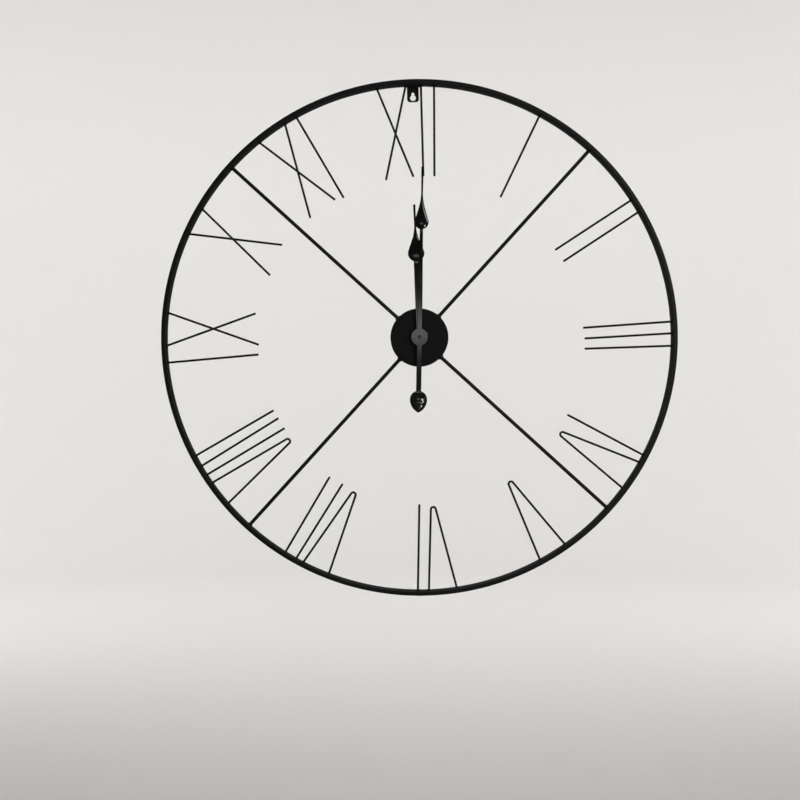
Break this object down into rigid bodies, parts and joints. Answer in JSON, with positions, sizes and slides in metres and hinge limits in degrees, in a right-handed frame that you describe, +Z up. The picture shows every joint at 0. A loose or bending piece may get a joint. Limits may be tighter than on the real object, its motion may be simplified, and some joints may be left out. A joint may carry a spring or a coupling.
{
  "type": "wall clock",
  "caption": "Large skeleton wall clock: black welded steel hoop, wire Roman numerals, round hub with quartz movement, spade hands and a keyhole hanger.",
  "frame": {"origin": "where the wall screw's shank seats in the top of the keyhole slot, on the wall plane", "axes": "+X to the right as the clock is read, +Y into the wall, +Z up; the dial faces -Y and its centre is 8.7 mm right of and 333.8 mm below the origin"},
  "size_m": [0.7, 0.0304, 0.7],
  "materials": {
    "frame_black": "satin black coat over welded mild steel",
    "hub_black": "matt black coat over pressed steel sheet",
    "hand_black": "satin black coat over aluminium",
    "nut_black": "blackened brass",
    "case_plastic": "fine moulded grain",
    "knob_plastic": "moulded, ridged edge",
    "gear_plastic": "natural moulded acetal",
    "brass_turned": "turned",
    "steel_plated": "bright nickel plated",
    "rubber_black": "matt",
    "battery_wrap": "plain printed film wrap",
    "board_green": "solder resist",
    "epoxy_black": "cured epoxy blob",
    "copper_wire": "enamelled copper winding",
    "iron_sheet": "annealed soft iron sheet"
  },
  "bodies": {
    "root": {"rim": "frame_black", "hanger": "frame_black", "hub_can": "hub_black", "spoke_1": "frame_black", "spoke_2": "frame_black", "spoke_3": "frame_black", "spoke_4": "frame_black", "numeral_1": "frame_black", "numeral_2": "frame_black", "numeral_3": "frame_black", "numeral_4": "frame_black", "numeral_5": "frame_black", "numeral_6": "frame_black", "numeral_7": "frame_black", "numeral_8": "frame_black", "numeral_9": "frame_black", "numeral_10": "frame_black", "numeral_11": "frame_black", "numeral_12": "frame_black", "movement_case": "case_plastic", "movement_cover": "case_plastic", "threaded_bush": "brass_turned", "rubber_gasket": "rubber_black", "washer": "steel_plated", "hex_nut": "brass_turned", "contact_plus": "steel_plated", "contact_minus": "steel_plated", "circuit_board": "board_green", "chip": "epoxy_black", "quartz_crystal": "steel_plated", "coil_bobbin": "gear_plastic", "coil_winding": "copper_wire", "coil_core": "iron_sheet", "stator": "iron_sheet"},
    "battery": {"battery": "battery_wrap"},
    "minute_hand": {"minute_hand": "hand_black", "minute_shaft": "brass_turned", "hand_nut": "nut_black", "clutch_spring": "steel_plated"},
    "hour_hand": {"hour_hand": "hand_black", "hour_wheel": "gear_plastic"},
    "minute_wheel": {"minute_wheel": "gear_plastic"},
    "set_knob": {"set_knob": "knob_plastic"},
    "seconds_wheel": {"seconds_wheel": "gear_plastic"},
    "intermediate_wheel": {"intermediate_wheel": "gear_plastic"},
    "rotor": {"rotor": "gear_plastic"},
    "third_wheel": {"third_wheel": "gear_plastic"},
    "centre_wheel": {"centre_wheel": "gear_plastic"}
  },
  "joints": [
    {"name": "minute_turn", "type": "hinge", "parent": "root", "child": "minute_hand", "pos_m": [0.00874, -0.028, -0.33379], "axis": [0, 1, 0], "continuous": true},
    {"name": "hour_turn", "type": "hinge", "parent": "root", "child": "hour_hand", "pos_m": [0.00874, -0.025, -0.33379], "axis": [0, 1, 0], "continuous": true},
    {"name": "minute_wheel_turn", "type": "hinge", "parent": "root", "child": "minute_wheel", "pos_m": [-0.00023, -0.01, -0.333], "axis": [0, 1, 0], "continuous": true},
    {"name": "set_knob_turn", "type": "hinge", "parent": "root", "child": "set_knob", "pos_m": [-0.00965, -0.01, -0.33048], "axis": [0, 1, 0], "continuous": true},
    {"name": "seconds_wheel_turn", "type": "hinge", "parent": "root", "child": "seconds_wheel", "pos_m": [0.00874, -0.01, -0.33379], "axis": [0, 1, 0], "continuous": true},
    {"name": "intermediate_wheel_turn", "type": "hinge", "parent": "root", "child": "intermediate_wheel", "pos_m": [0.01745, -0.01, -0.33455], "axis": [0, 1, 0], "continuous": true},
    {"name": "rotor_turn", "type": "hinge", "parent": "root", "child": "rotor", "pos_m": [0.02132, -0.01, -0.32812], "axis": [0, 1, 0], "continuous": true},
    {"name": "third_wheel_turn", "type": "hinge", "parent": "root", "child": "third_wheel", "pos_m": [0.00799, -0.01, -0.32532], "axis": [0, 1, 0], "continuous": true},
    {"name": "centre_wheel_turn", "type": "hinge", "parent": "root", "child": "centre_wheel", "pos_m": [0.00874, -0.01, -0.33379], "axis": [0, 1, 0], "continuous": true},
    {"name": "battery_slide", "type": "slide", "parent": "root", "child": "battery", "axis": [0, 1, 0], "range_m": [0, 0.022]}
  ],
  "couplings": [
    {"joint": "hour_turn", "follows": "minute_turn", "ratio": 0.083333},
    {"joint": "minute_wheel_turn", "follows": "minute_turn", "ratio": -0.33333},
    {"joint": "set_knob_turn", "follows": "minute_turn", "ratio": 0.75},
    {"joint": "intermediate_wheel_turn", "follows": "seconds_wheel_turn", "ratio": -6},
    {"joint": "rotor_turn", "follows": "seconds_wheel_turn", "ratio": 30},
    {"joint": "third_wheel_turn", "follows": "seconds_wheel_turn", "ratio": -0.13333},
    {"joint": "centre_wheel_turn", "follows": "seconds_wheel_turn", "ratio": 0.016667}
  ]
}
